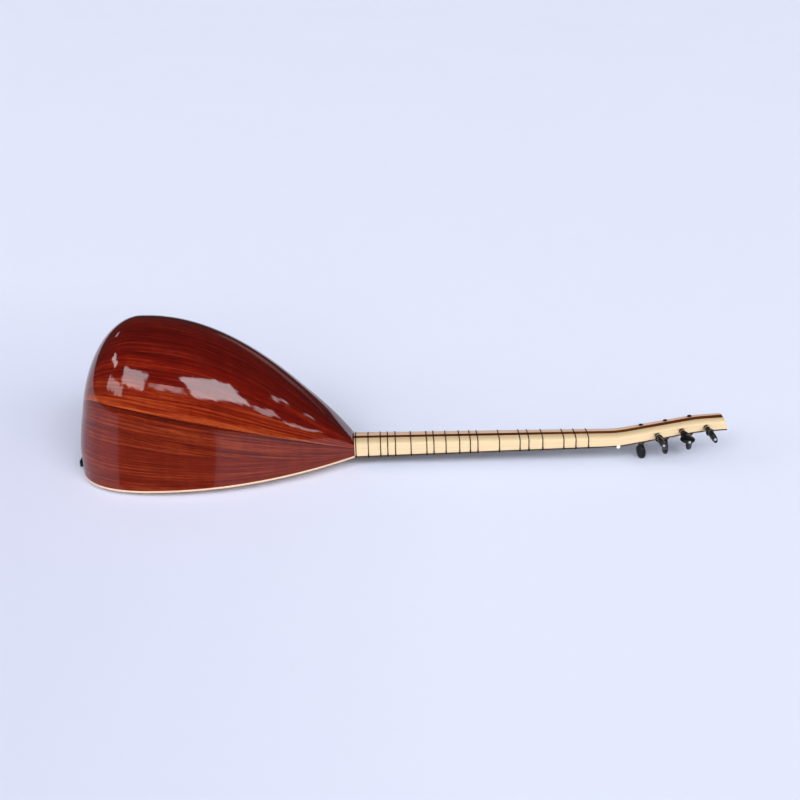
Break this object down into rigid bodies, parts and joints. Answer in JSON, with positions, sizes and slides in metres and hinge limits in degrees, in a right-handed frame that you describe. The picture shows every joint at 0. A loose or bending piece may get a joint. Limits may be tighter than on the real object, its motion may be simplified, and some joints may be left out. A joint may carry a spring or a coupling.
{
  "type": "saz",
  "caption": "Long-necked lute with a staved pear-shaped bowl, a straight neck with tied frets and a bent-back head with turning pegs, lying face down.",
  "frame": {"origin": "centre of the bounding box, at the height of the supports it rests on", "axes": "+X from the tail to the head, +Y to the treble side, +Z out of the back of the bowl"},
  "size_m": [0.9626, 0.2286, 0.2316],
  "materials": {
    "mahogany_red": "clear gloss lacquer",
    "mahogany_brown": "clear gloss lacquer",
    "spruce_top": "clear satin lacquer",
    "inner_spruce": "bare planed wood",
    "hornbeam": "clear satin lacquer",
    "dark_stripe": "clear satin lacquer",
    "dark_board": "oiled",
    "bone": "polished bone",
    "ebony": "polished",
    "fret_nylon": "smooth monofilament",
    "plain_steel": "drawn wire"
  },
  "bodies": {
    "instrument": {"brace_neck": "inner_spruce", "brace_tail": "inner_spruce", "bridge": "dark_board", "fingerboard": "dark_board", "head_plate": "dark_board", "lining_bass": "inner_spruce", "lining_treble": "inner_spruce", "neck_bass_half": "hornbeam", "neck_block": "inner_spruce", "neck_stripe": "dark_stripe", "neck_treble_half": "hornbeam", "nut": "bone", "soundboard": "spruce_top", "stave_01": "mahogany_brown", "stave_02": "mahogany_brown", "stave_03": "mahogany_red", "stave_04": "mahogany_red", "stave_05": "mahogany_red", "stave_06": "mahogany_red", "stave_07": "mahogany_red", "stave_08": "mahogany_red", "stave_09": "mahogany_red", "stave_10": "mahogany_brown", "stave_11": "mahogany_brown", "string_1": "plain_steel", "string_2": "plain_steel", "string_3": "plain_steel", "string_4": "plain_steel", "string_5": "plain_steel", "string_6": "plain_steel", "tail_block": "inner_spruce", "tailpiece": "ebony"},
    "peg_front_1": {"peg_front_1": "ebony"},
    "peg_front_2": {"peg_front_2": "ebony"},
    "peg_front_3": {"peg_front_3": "ebony"},
    "peg_side_1": {"peg_side_1": "ebony"},
    "peg_side_2": {"peg_side_2": "ebony"},
    "peg_side_3": {"peg_side_3": "ebony"},
    "fret_01": {"fret_01": "fret_nylon"},
    "fret_02": {"fret_02": "fret_nylon"},
    "fret_03": {"fret_03": "fret_nylon"},
    "fret_04": {"fret_04": "fret_nylon"},
    "fret_05": {"fret_05": "fret_nylon"},
    "fret_06": {"fret_06": "fret_nylon"},
    "fret_07": {"fret_07": "fret_nylon"},
    "fret_08": {"fret_08": "fret_nylon"},
    "fret_09": {"fret_09": "fret_nylon"},
    "fret_10": {"fret_10": "fret_nylon"},
    "fret_11": {"fret_11": "fret_nylon"},
    "fret_12": {"fret_12": "fret_nylon"},
    "fret_13": {"fret_13": "fret_nylon"},
    "fret_14": {"fret_14": "fret_nylon"},
    "fret_15": {"fret_15": "fret_nylon"},
    "fret_16": {"fret_16": "fret_nylon"},
    "fret_17": {"fret_17": "fret_nylon"},
    "fret_18": {"fret_18": "fret_nylon"},
    "fret_19": {"fret_19": "fret_nylon"}
  },
  "joints": [
    {"name": "peg_front_1_turn", "type": "hinge", "parent": "instrument", "child": "peg_front_1", "pos_m": [0.35913, 0.0096, 0.03909], "axis": [0.0842, 0, -0.9964], "continuous": true},
    {"name": "peg_front_2_turn", "type": "hinge", "parent": "instrument", "child": "peg_front_2", "pos_m": [0.39512, 0.0096, 0.04621], "axis": [0.0842, 0, -0.9964], "continuous": true},
    {"name": "peg_front_3_turn", "type": "hinge", "parent": "instrument", "child": "peg_front_3", "pos_m": [0.43111, 0.0096, 0.05324], "axis": [0.0842, 0, -0.9964], "continuous": true},
    {"name": "peg_side_1_turn", "type": "hinge", "parent": "instrument", "child": "peg_side_1", "pos_m": [0.37688, -0.01725, 0.05016], "axis": [0.0523, -0.9986, 0.0017], "continuous": true},
    {"name": "peg_side_2_turn", "type": "hinge", "parent": "instrument", "child": "peg_side_2", "pos_m": [0.41287, -0.01698, 0.05721], "axis": [0.0523, -0.9986, 0.0017], "continuous": true},
    {"name": "peg_side_3_turn", "type": "hinge", "parent": "instrument", "child": "peg_side_3", "pos_m": [0.44891, -0.01671, 0.06281], "axis": [0.0523, -0.9986, 0.0017], "continuous": true},
    {"name": "fret_01_shift", "type": "slide", "parent": "instrument", "child": "fret_01", "axis": [0.9995, 0, 0.0319], "range_m": [-0.0035, 0.0035]},
    {"name": "fret_02_shift", "type": "slide", "parent": "instrument", "child": "fret_02", "axis": [0.9995, 0, 0.0319], "range_m": [-0.0035, 0.0035]},
    {"name": "fret_03_shift", "type": "slide", "parent": "instrument", "child": "fret_03", "axis": [0.9995, 0, 0.0319], "range_m": [-0.0035, 0.0035]},
    {"name": "fret_04_shift", "type": "slide", "parent": "instrument", "child": "fret_04", "axis": [0.9995, 0, 0.0319], "range_m": [-0.0035, 0.0035]},
    {"name": "fret_05_shift", "type": "slide", "parent": "instrument", "child": "fret_05", "axis": [0.9995, 0, 0.0319], "range_m": [-0.0035, 0.0035]},
    {"name": "fret_06_shift", "type": "slide", "parent": "instrument", "child": "fret_06", "axis": [0.9995, 0, 0.0319], "range_m": [-0.0035, 0.0035]},
    {"name": "fret_07_shift", "type": "slide", "parent": "instrument", "child": "fret_07", "axis": [0.9995, 0, 0.0319], "range_m": [-0.0035, 0.0035]},
    {"name": "fret_08_shift", "type": "slide", "parent": "instrument", "child": "fret_08", "axis": [0.9995, 0, 0.0319], "range_m": [-0.0035, 0.0035]},
    {"name": "fret_09_shift", "type": "slide", "parent": "instrument", "child": "fret_09", "axis": [0.9995, 0, 0.0319], "range_m": [-0.0035, 0.0035]},
    {"name": "fret_10_shift", "type": "slide", "parent": "instrument", "child": "fret_10", "axis": [0.9995, 0, 0.0319], "range_m": [-0.0035, 0.0035]},
    {"name": "fret_11_shift", "type": "slide", "parent": "instrument", "child": "fret_11", "axis": [0.9995, 0, 0.0319], "range_m": [-0.0035, 0.0035]},
    {"name": "fret_12_shift", "type": "slide", "parent": "instrument", "child": "fret_12", "axis": [0.9995, 0, 0.0319], "range_m": [-0.0035, 0.0035]},
    {"name": "fret_13_shift", "type": "slide", "parent": "instrument", "child": "fret_13", "axis": [0.9995, 0, 0.0319], "range_m": [-0.0035, 0.0035]},
    {"name": "fret_14_shift", "type": "slide", "parent": "instrument", "child": "fret_14", "axis": [0.9995, 0, 0.0319], "range_m": [-0.0035, 0.0035]},
    {"name": "fret_15_shift", "type": "slide", "parent": "instrument", "child": "fret_15", "axis": [0.9995, 0, 0.0319], "range_m": [-0.0035, 0.0035]},
    {"name": "fret_16_shift", "type": "slide", "parent": "instrument", "child": "fret_16", "axis": [0.9995, 0, 0.0319], "range_m": [-0.0035, 0.0035]},
    {"name": "fret_17_shift", "type": "slide", "parent": "instrument", "child": "fret_17", "axis": [0.9995, 0, 0.0319], "range_m": [-0.0035, 0.0035]},
    {"name": "fret_18_shift", "type": "slide", "parent": "instrument", "child": "fret_18", "axis": [0.9995, 0, 0.0319], "range_m": [-0.0035, 0.0035]},
    {"name": "fret_19_shift", "type": "slide", "parent": "instrument", "child": "fret_19", "axis": [0.9995, 0, 0.0319], "range_m": [-0.0006, 0.0035]}
  ]
}
